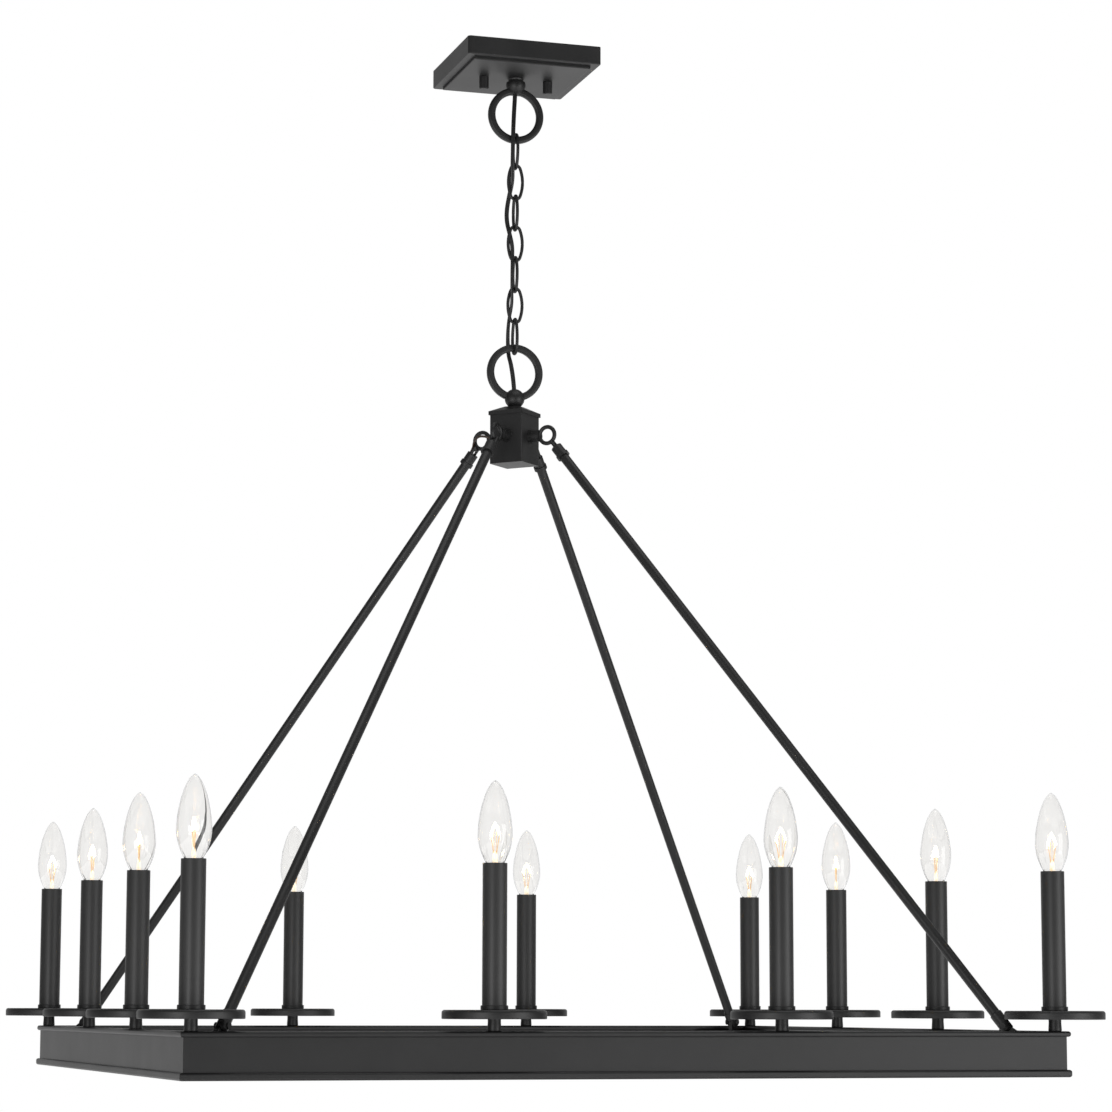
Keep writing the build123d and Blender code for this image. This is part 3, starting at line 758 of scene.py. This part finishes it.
@dataclass
class Candles:
    """Drip plates, cups, stems and sleeves at every lamp's place."""

    finishes: Finishes
    plate_diameter: float = 0.094
    plate_sheet: float = 0.0015
    plate_edge: float = 0.0026
    sleeve_diameter: float = 0.0222
    sleeve_wall: float = 0.0010
    sleeve_lip: float = 0.00035
    cup_diameter: float = 0.0248
    cup_floor: float = 0.0012
    cup_play: float = 0.0001
    stem_diameter: float = 0.0126
    stem_waist: float = 0.0004
    stem_foot: float = 0.0005
    chamfer: float = 0.0004
    bore: float = 0.0100

    def plate(self, low: float, high: float) -> Array:
        """The plate's profile: a flat top, a round edge and a turned-down rim.

        Args:
            low: the rim's foot.
            high: the flat top.

        Returns:
            Radius and height pairs.
        """
        edge, sheet, curve = self.plate_diameter / 2, self.plate_sheet, self.plate_edge
        inner = curve - sheet
        parts = [
            arc((edge - sheet / 2, low + sheet / 2), sheet / 2, -180, 0, 7),
            arc((edge - curve, high - curve), curve, 0, 90, 10),
            [[self.bore / 2, high], [self.bore / 2, high - sheet]],
            arc((edge - sheet - inner, high - sheet - inner), inner, 90, 0, 6),
            [[edge - sheet, low + sheet / 2]],
        ]
        return np.vstack(parts)

    def sleeve(self, low: float, high: float) -> Array:
        """The sleeve's profile: a thin tube with a rounded lip.

        Args:
            low: its foot.
            high: its lip.

        Returns:
            Radius and height pairs.
        """
        outer = self.sleeve_diameter / 2
        inner = outer - self.sleeve_wall
        lip = self.sleeve_lip
        parts = [
            [[inner, low], [outer, low]],
            arc((outer - lip, high - lip), lip, 0, 90, 5),
            arc((inner + lip, high - lip), lip, 90, 180, 5),
            [[inner, low]],
        ]
        return np.vstack(parts)

    def cup(self, low: float, high: float) -> Array:
        """The cup's profile: a floor and a low wall with a rounded rim.

        Args:
            low: its underside.
            high: its rim.

        Returns:
            Radius and height pairs.
        """
        outer = self.cup_diameter / 2
        inner = self.sleeve_diameter / 2 + self.cup_play
        rim = (outer - inner) / 2
        floor = low + self.cup_floor
        parts = [
            [[self.bore / 2, low], [outer - self.chamfer, low], [outer, low + self.chamfer]],
            arc(((outer + inner) / 2, high - rim), rim, 0, 180, 8),
            [[inner, floor], [self.bore / 2, floor], [self.bore / 2, low]],
        ]
        return np.vstack(parts)

    def stem(self, low: float, high: float) -> Array:
        """The stem's profile: a short tube, slightly waisted, with a shoulder at the foot.

        Args:
            low: its foot.
            high: its top.

        Returns:
            Radius and height pairs.
        """
        outer = self.stem_diameter / 2
        height = np.linspace(low + self.stem_foot, high, 12)
        share = (height - low) / (high - low)
        waist = outer - self.stem_waist * np.sin(math.pi * share) ** 2
        parts = [
            [[self.bore / 2, low], [outer - self.chamfer, low]],
            np.stack([waist, height], axis=1),
            [[self.bore / 2, high], [self.bore / 2, low]],
        ]
        return np.vstack(parts)

    def build(self, places: Array) -> None:
        """Make the candles' metal in place of its nodes.

        Args:
            places: the lamps' axes.
        """
        coat = self.finishes.coat
        rows = [
            ("drip_plates", self.plate, 96, coat),
            ("candle_sleeves", self.sleeve, 56, self.finishes.sleeve_coat),
            ("candle_cups", self.cup, 56, coat),
            ("candle_stems", self.stem, 40, coat),
        ]
        for node, profile, segments, finish in rows:
            low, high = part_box(node)
            vertices, faces = lathe(profile(low.z, high.z), segments)
            mesh = joined(*((vertices + place, faces) for place in places))
            piece = add_piece(f"turned_{node}", mesh, finish)
            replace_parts(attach(piece, Body.PENDANT.value), node)


@dataclass
class Lamp:
    """A clear torpedo lamp: blown glass, a pressed stem, wires, a coiled filament and a screw base."""

    finishes: Finishes
    glass_low: float
    tip: float
    diameter: float = 0.0314
    neck: float = 0.0065
    belly_share: float = 0.378
    wall: float = 0.0006
    tip_walls: float = 1.4
    segments: int = 56
    taper_power: float = 1.70
    tip_power: float = 0.60
    stem_height: float = 0.0130
    stem_half: float = 0.0029
    stem_top_half: float = 0.0019
    stem_flatness: float = 0.75
    filament_height: float = 0.0280
    filament_half: float = 0.0050
    filament_turns: int = 14
    coil_radius: float = 0.00105
    coil_wire: float = 0.00034
    arch_rise: float = 0.0085
    lead_wire: float = 0.00038
    anchor_wire: float = 0.00022
    anchor_reach: float = 0.36
    anchor_rise: float = 0.9
    wire_start: float = 0.003
    wire_foot: float = 0.0011
    wire_power: float = 1.6
    base_length: float = 0.015
    base_diameter: float = 0.0119
    base_gap: float = 0.0001
    thread_start: float = 0.0028
    thread_depth: float = 0.0003
    thread_pitch: float = 0.0025
    contact: tuple[Pair, ...] = ((0.0, 0.0), (0.0022, 0.0003), (0.0028, 0.0010), (0.0046, 0.0024))

    def envelope(self, inset: float, steps: int = 46) -> Array:
        """The glass outline: a parabola from the neck to the belly, then a taper to the tip.

        The taper's radius is the belly's times (1 - t^p)^q, with t from 0 at the belly to 1 at the tip.

        Args:
            inset: how far inside the outer skin.
            steps: points on each of the two curves.

        Returns:
            Radius and height pairs, from the neck up.
        """
        belly = self.glass_low + self.belly_share * (self.tip - self.glass_low)
        widest = self.diameter / 2 - inset
        neck = self.neck - inset
        low, top = self.glass_low + inset, self.tip - inset * self.tip_walls
        share = np.linspace(0.0, 1.0, steps)
        reach = 1 - (1 - share) ** 2
        swell = np.stack([neck + (widest - neck) * reach, low + (belly - low) * share], axis=1)
        narrowing = (1 - reach**self.taper_power) ** self.tip_power
        taper = np.stack([widest * narrowing, belly + (top - belly) * reach], axis=1)
        return np.vstack([[[0.0, low]], swell, taper[1:]])

    def glass(self) -> Mesh:
        """Make the envelope as an outer and an inner skin.

        Returns:
            The vertices and faces.
        """
        outer, inner = self.envelope(0.0), self.envelope(self.wall)[::-1]
        return joined(lathe(outer, self.segments), lathe(inner, self.segments))

    def stem(self) -> Mesh:
        """Make the pressed stem: a flattened cone whose top closes as a quarter of an ellipse.

        Returns:
            The vertices and faces.
        """
        foot = self.glass_low + self.wall / 2
        share = np.linspace(0.0, 1.0, 24)
        closing = np.sqrt(1 - np.clip(share * 4 - 3, 0.0, 1.0) ** 2)
        half = (self.stem_half + (self.stem_top_half - self.stem_half) * share) * closing
        profile = np.vstack([[[0.0, foot]], np.stack([half, foot + self.stem_height * share], axis=1)])
        vertices, faces = lathe(profile, 32)
        return vertices * np.array([1.0, self.stem_flatness, 1.0]), faces

    def wires(self) -> Mesh:
        """Make two wires from the stem to the filament's ends and two thinner anchors to its arch.

        A wire's distance from the axis is its start plus the spread times a power of the height's share.

        Returns:
            The vertices and faces.
        """
        share = np.linspace(0.0, 1.0, 10)
        outward = np.tile([0.0, 1.0, 0.0], (len(share), 1))
        foot, low = self.wire_foot, self.glass_low + self.wire_start
        kinds = ((1.0, 0.0, self.lead_wire), (self.anchor_reach, self.anchor_rise, self.anchor_wire))
        shells = []
        for reach, rise, thickness in kinds:
            high = self.glass_low + self.filament_height + rise * self.arch_rise
            spread_out = foot + (reach * self.filament_half - foot) * share**self.wire_power
            for side in (-1.0, 1.0):
                path = np.stack([side * spread_out, 0.0 * share, low + (high - low) * share], axis=1)
                shells.append(carried(path, outward, circle(thickness, 8), closed=False))
        return joined(*shells)

    def filament(self) -> Mesh:
        """Make the filament, a coil on a shallow arch between the wires.

        A point is the arch's point plus the coil's radius times the cosine and sine of the turn.

        Returns:
            The vertices and faces.
        """
        share = np.linspace(0.0, 1.0, self.filament_turns * 10)
        turn = 2 * math.pi * self.filament_turns * share
        outward = np.stack([np.zeros_like(turn), np.cos(turn), np.sin(turn)], axis=1)
        height = self.glass_low + self.filament_height + self.arch_rise * np.sin(math.pi * share)
        arch = np.stack([self.filament_half * (2 * share - 1), np.zeros_like(share), height], axis=1)
        path = arch + self.coil_radius * outward
        return carried(path, outward, circle(self.coil_wire, 6), closed=False)

    def base(self) -> Mesh:
        """Make the screw base: a thread whose radius is a sine of the height, and a rounded contact.

        Returns:
            The vertices and faces.
        """
        low, high = self.glass_low - self.base_length, self.glass_low - self.base_gap
        height = np.linspace(low + self.thread_start, high, 60)
        wave = np.sin(2 * math.pi * (height - low) / self.thread_pitch)
        radius = self.base_diameter / 2 - self.thread_depth * (1 - wave)
        contact = np.array(self.contact) + np.array([0.0, low])
        return lathe(np.vstack([contact, np.stack([radius, height], axis=1), [[0.0, high]]]), 40)

    def build(self, number: int, place: Array, turn: float) -> None:
        """Make one lamp in place of its node.

        Args:
            number: which lamp.
            place: its axis, at height zero.
            turn: which way its filament faces, in radians.
        """
        body = f"bulb_{number:02d}"
        rows = [
            ("glass", self.glass(), self.finishes.glass),
            # The stem and the wires carry a painted glow; only the filament is a real glow
            ("stem", self.stem(), self.finishes.painted_glow_stem),
            ("wires", self.wires(), self.finishes.painted_glow_wire),
            ("filament", self.filament(), self.finishes.filament),
            ("base", self.base(), self.finishes.brass),
        ]
        turned = turn_about_z(turn)
        for kind, (vertices, faces), finish in rows:
            mesh = (vertices @ turned + place, faces)
            piece = add_piece(f"lamp_{number:02d}_{kind}", mesh, finish)
            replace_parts(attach(piece, body), body)


def spline_line(points: Array) -> Array:
    """Points along the smooth NURBS line that has these control points.

    Args:
        points: the route's points.

    Returns:
        Points read from the curve, close together.
    """
    curve = bpy.data.curves.new("route", "CURVE")
    curve.dimensions = "3D"
    curve.resolution_u = 14
    spline = curve.splines.new("NURBS")
    spline.points.add(len(points) - 1)
    spline.points.foreach_set("co", np.hstack([points, np.ones((len(points), 1))]).ravel())
    spline.order_u = 3
    spline.use_endpoint_u = True
    holder = bpy.data.objects.new("route", curve)
    mesh = bpy.data.meshes.new_from_object(holder)
    line = np.zeros(len(mesh.vertices) * 3)
    mesh.vertices.foreach_get("co", line)
    bpy.data.objects.remove(holder)
    bpy.data.meshes.remove(mesh)
    bpy.data.curves.remove(curve)
    return line.reshape(-1, 3)


@dataclass
class SupplyCord:
    """The flat twin cord woven through the chain, in pieces cut at the links' middles."""

    finishes: Finishes
    width: float = 0.0046
    thickness: float = 0.0024
    lobe_power: float = 0.65
    groove: float = 0.30
    groove_power: int = 14
    links: int = LINK_COUNT
    upper_ball_rise: float = 0.0327
    lower_ball_drop: float = 0.0275
    bend_half: float = 0.012
    twist: float = 0.8
    twist_rate: float = 21.0

    def section(self) -> Array:
        """Two lobes side by side: x is a cosine, and y a squared-off sine that dips at the middle.

        Returns:
            The section's points.
        """
        angle = np.linspace(0.0, 2.0 * math.pi, 32, endpoint=False)
        sine = np.sin(angle)
        dip = 1 - self.groove * np.abs(sine) ** self.groove_power
        lobe = np.sign(sine) * np.abs(sine) ** self.lobe_power * dip
        return np.stack([self.width / 2 * np.cos(angle), self.thickness / 2 * lobe], axis=1)

    def link_middles(self) -> list[float]:
        """The heights of the links' middles, from the top down."""
        return [middle(f"chain_link_{number}").z for number in range(1, self.links + 1)]

    def route(self) -> Array:
        """The cord's points, listed one by one.

        It hangs in front of the upper ring, goes back through link two, forward through link four, back
        through link six, behind the lower ring and into the lower ball.

        Returns:
            The points, from the upper ball down.
        """
        link = self.link_middles()
        upper_low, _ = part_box("upper_loop")
        _, lower_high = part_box("lower_loop")
        upper_ring = upper_low.z + Loops.ring_diameter / 2
        lower_ring = lower_high.z - Loops.ring_diameter / 2
        upper_ball, lower_ball = upper_ring + self.upper_ball_rise, lower_ring - self.lower_ball_drop
        points = [
            (-0.0008, 0.0000, upper_ball - 0.0020),
            (-0.0009, -0.0002, upper_ring + 0.0216),
            (-0.0026, -0.0026, upper_ring + 0.0040),
            (-0.0046, -0.0066, upper_low.z + 0.0120),
            (-0.0049, -0.0068, upper_low.z - 0.0030),
            (-0.0048, -0.0052, link[1] + 0.0150),
            (-0.0032, 0.0002, link[1] + 0.0010),
            (-0.0054, 0.0050, link[1] - 0.0140),
            (-0.0078, 0.0058, link[2] + 0.0040),
            (-0.0078, 0.0056, link[2] - 0.0080),
            (-0.0056, 0.0046, link[3] + 0.0140),
            (-0.0032, -0.0002, link[3] - 0.0010),
            (-0.0044, -0.0050, link[3] - 0.0160),
            (-0.0050, -0.0058, link[4] + 0.0010),
            (-0.0049, -0.0049, link[5] + 0.0150),
            (-0.0032, 0.0001, link[5] + 0.0005),
            (-0.0052, 0.0050, link[5] - 0.0140),
            (-0.0059, 0.0068, link[6] + 0.0020),
            (-0.0052, 0.0067, lower_high.z - 0.0100),
            (-0.0030, 0.0036, lower_ring + 0.0100),
            (-0.0006, 0.0006, lower_ball + 0.0153),
            (-0.0003, 0.0000, lower_ball + 0.0020),
        ]
        return np.array(points)

    def build(self, frame: dict) -> None:
        """Make the cord in pieces cut at the links' middles.
        """
        line = spline_line(self.route())
        cuts = [int(np.argmax(line[:, 2] < height)) for height in self.link_middles()]
        edges = [0, *cuts, len(line) - 1]
        for index, (first, last) in enumerate(zip(edges, edges[1:])):
            run = line[first : last + 1]
            twist = self.twist * np.sin(self.twist_rate * (run[:, 2] - line[0, 2]))
            broad = np.stack([np.cos(twist), np.sin(twist), np.zeros(len(run))], axis=1)
            mesh = carried(run, broad, self.section(), closed=False)
            piece = add_piece(f"woven_cord_{index + 1}", mesh, self.finishes.jacket)
            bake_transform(piece)
            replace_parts(piece, "supply_cord")


@dataclass
class RodLead:
    """The short bronze lead from the hub to the top of the back left rod."""

    finishes: Finishes
    diameter: float = 0.0024
    eye_reach: float = 0.0385
    rod_run: float = 0.4911
    rod_fall: float = 0.6035
    ferrule_start: float = 0.0174
    entry: float = 0.0035
    hub_face: float = 0.019
    beside_eye: float = 0.009
    eye_drop: float = 0.0227
    rod_side: float = 135.0

    def beside_rod(self, distance: float, eye: float) -> Triple:
        """A point above the rod's axis, where the lead's hole is.

        Args:
            distance: how far down the rod, from the eye's centre.
            eye: the eye's height.

        Returns:
            The point, in the upright plane through hub and rod.
        """
        length = math.hypot(self.rod_run, self.rod_fall)
        run, fall = self.rod_run / length, self.rod_fall / length
        x = self.eye_reach + distance * run + self.entry * fall
        return x, 0.0, eye - distance * fall + self.entry * run

    def build(self) -> None:
        """Make the lead in place of its node."""
        cap_low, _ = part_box("hub_cap")
        eye = cap_low.z - self.eye_drop
        face, beside = self.hub_face, self.beside_eye
        points = [
            (face - 0.0025, beside, eye),
            (face + 0.0055, beside, eye),
            (face + 0.0100, beside + 0.0018, eye + 0.0024),
            (face + 0.0185, beside + 0.0016, eye + 0.0030),
            (face + 0.0260, beside - 0.0025, eye - 0.0015),
            self.beside_rod(self.ferrule_start - 2 * self.diameter, eye),
            self.beside_rod(self.ferrule_start + 0.004, eye),
        ]
        turned = turn_about_z(math.radians(self.rod_side))
        line = spline_line(np.array(points) @ turned)
        outward = np.tile(np.array([0.0, 1.0, 0.0]) @ turned, (len(line), 1))
        mesh = carried(line, outward, circle(self.diameter / 2, 14), closed=False)
        piece = add_piece("rod_lead_wire", mesh, self.finishes.bronze)
        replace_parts(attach(piece, Body.PENDANT.value), "rod_lead")


@dataclass(frozen=True)
class Softbox:
    """A square soft lamp: its place, what it points at, its side in metres and its watts."""

    name: str
    place: Triple
    aim: Triple
    size: float
    power: float

    def build(self) -> None:
        """Put the lamp up, unseen through glass."""
        data = bpy.data.lights.new(self.name, "AREA")
        data.size = self.size
        data.energy = self.power
        lamp = bpy.data.objects.new(self.name, data)
        lamp.location = self.place
        towards = Vector(self.aim) - Vector(self.place)
        lamp.rotation_euler = towards.to_track_quat("-Z", "Y").to_euler()
        lamp.visible_transmission = False
        bpy.context.scene.collection.objects.link(lamp)


@dataclass
class Studio:
    """The camera at the photograph's place, soft lamps, a pale floor and a white surround."""

    camera_place: Triple = (-0.9651, -3.2948, -0.9909)
    yaw: float = 17.052
    pitch: float = 7.658
    roll: float = 0.125
    focal_pixels: float = 3344.7
    image_pixels: float = 1112.0
    sensor: float = 36.0
    far_clip: float = 100.0
    front_glow: float = 0.22
    back_glow: float = 0.90
    glow_side: Triple = (0.25, 0.90, -0.25)
    glow_span: Pair = (0.3, 1.1)
    floor_drop: float = 0.75
    floor_half: float = 3.2
    floor_colour: Triple = (0.86, 0.86, 0.86)
    floor_rough: float = 0.9
    floor_shine: float = 0.29
    floor_fade: Pair = (1.9, 3.3)
    softboxes: tuple[Softbox, ...] = (
        Softbox("left_softbox", (-2.2, -2.7, -1.0), (0.0, 0.0, -1.0), 1.0, 20.5),
        Softbox("front_softbox", (0.9, -3.5, -0.95), (0.0, 0.0, -1.0), 1.2, 4.5),
        Softbox("right_softbox", (2.25, -2.72, -0.95), (0.0, 0.0, -1.0), 1.7, 31.0),
        Softbox("side_softbox", (-3.0, -1.6, -0.6), (0.0, 0.0, -0.85), 1.6, 5.0),
        Softbox("top_softbox", (0.3, -0.6, 2.2), (0.0, 0.0, -0.85), 2.4, 25.0),
    )

    def add_camera(self) -> None:
        """Aim the camera: forward from yaw and pitch, then a small roll."""
        yaw, pitch, roll = (math.radians(value) for value in (self.yaw, self.pitch, self.roll))
        ahead = math.cos(pitch)
        forward = Vector((math.sin(yaw) * ahead, math.cos(yaw) * ahead, math.sin(pitch)))
        level = Vector((math.cos(yaw), -math.sin(yaw), 0.0))
        above = level.cross(forward)
        right = math.cos(roll) * level + math.sin(roll) * above
        upward = math.cos(roll) * above - math.sin(roll) * level
        data = bpy.data.cameras.new("photo_camera")
        data.sensor_width = self.sensor
        data.lens = self.sensor * self.focal_pixels / self.image_pixels
        data.clip_end = self.far_clip
        camera = bpy.data.objects.new("photo_camera", data)
        turn = Matrix((right, upward, -forward)).transposed().to_4x4()
        camera.matrix_world = Matrix.Translation(self.camera_place) @ turn
        bpy.context.scene.collection.objects.link(camera)
        bpy.context.scene.camera = camera

    def ray_of(self, tree: NodeTree, *kinds: str) -> NodeSocket:
        """Tell rays of some kinds from all others.

        Args:
            tree: the node tree to add to.
            kinds: the kinds, by the names of their outputs.

        Returns:
            A socket that is 1 for a ray of any of these kinds and 0 otherwise.
        """
        paths = add_node(tree, "LightPath")
        seen = paths.outputs[kinds[0]]
        for kind in kinds[1:]:
            seen = compute(tree, "Math", "MAXIMUM", seen, paths.outputs[kind])
        return seen

    def add_world(self) -> None:
        """Make the surround: white to the camera and through glass, softer for light and gloss."""
        world = bpy.data.worlds.new("white_surround")
        world.use_nodes = True
        tree = world.node_tree
        tree.nodes.clear()
        white = add_node(tree, "Background", Color=WHITE)
        place = add_node(tree, "TexCoord").outputs["Object"]
        backwards = compute(tree, "VectorMath", "DOT_PRODUCT", place, self.glow_side)
        fade = add_node(tree, "MapRange", backwards, *self.glow_span, self.front_glow, self.back_glow)
        fade.interpolation_type = "SMOOTHSTEP"
        grey = add_node(tree, "Background", Color=WHITE, Strength=fade.outputs["Result"])
        seen = self.ray_of(tree, "Is Camera Ray", "Is Transmission Ray")
        mix = add_node(tree, "MixShader", seen, grey.outputs["Background"], white.outputs["Background"])
        add_node(tree, "OutputWorld", Surface=mix.outputs["Shader"])
        bpy.context.scene.world = world

    def add_floor(self, lowest: float) -> None:
        """Lay a pale floor below the lamp, which glows towards white away from it but gives no light.

        Args:
            lowest: the object's lowest point.
        """
        half, level = self.floor_half, lowest - self.floor_drop
        data = bpy.data.meshes.new("pale_floor")
        corners = [(-half, -half), (half, -half), (half, half), (-half, half)]
        data.from_pydata([(x, y, level) for x, y in corners], [], [(0, 1, 2, 3)])
        paint = Paint("pale_floor")
        tree = paint.tree
        place = add_node(tree, "TexCoord").outputs["Object"]
        distance = compute(tree, "VectorMath", "LENGTH", place)
        fade = add_node(tree, "MapRange", distance, *self.floor_fade, self.floor_shine)
        seen = self.ray_of(tree, "Is Camera Ray", "Is Transmission Ray", "Is Glossy Ray")
        shine = compute(tree, "Math", "MULTIPLY", fade.outputs["Result"], seen)
        fill(paint.shader, Base_Color=(*self.floor_colour, 1.0), Roughness=self.floor_rough)
        fill(paint.shader, Emission_Color=WHITE, Emission_Strength=shine)
        data.materials.append(paint.material)
        floor = bpy.data.objects.new("pale_floor", data)
        bpy.context.scene.collection.objects.link(floor)
        floor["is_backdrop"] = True

    def build(self, lowest: float) -> None:
        """Set the stage.

        Args:
            lowest: the object's lowest point.
        """
        bpy.context.scene.view_settings.view_transform = "Standard"
        self.add_camera()
        self.add_world()
        self.add_floor(lowest)
        for softbox in self.softboxes:
            softbox.build()


def plain(box: tuple) -> list[list[float]]:
    """A box as lists of numbers."""
    return [[float(value) for value in corner] for corner in box]


def main() -> None:
    """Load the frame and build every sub-assembly in order."""
    logging.basicConfig(level=logging.INFO, format="%(name)s %(message)s")
    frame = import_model()
    cad_box = plain(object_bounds())
    finishes = Finishes()
    Metalwork(finishes).dress(frame)
    Studio().build(cad_box[0][2])
    SupplyCord(finishes).build(frame)
    RodLead(finishes).build()

    lamp_nodes = sorted(name for name in frame["nodes"] if name.startswith("bulb_"))
    places = np.array([(*middle(node).xy, 0.0) for node in lamp_nodes])
    _, sleeve_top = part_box("candle_sleeves")
    _, lamp_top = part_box(lamp_nodes[0])
    Chain(finishes).build()
    Loops(finishes).build()
    Candles(finishes).build(places)
    lamp = Lamp(finishes, glass_low=sleeve_top.z - GLASS_DEPTH, tip=lamp_top.z)
    for number, place in enumerate(places, 1):
        lamp.build(number, place, LAMP_TURN * number)

    LOG.info("boxes written")


if __name__ == "__main__":
    main()
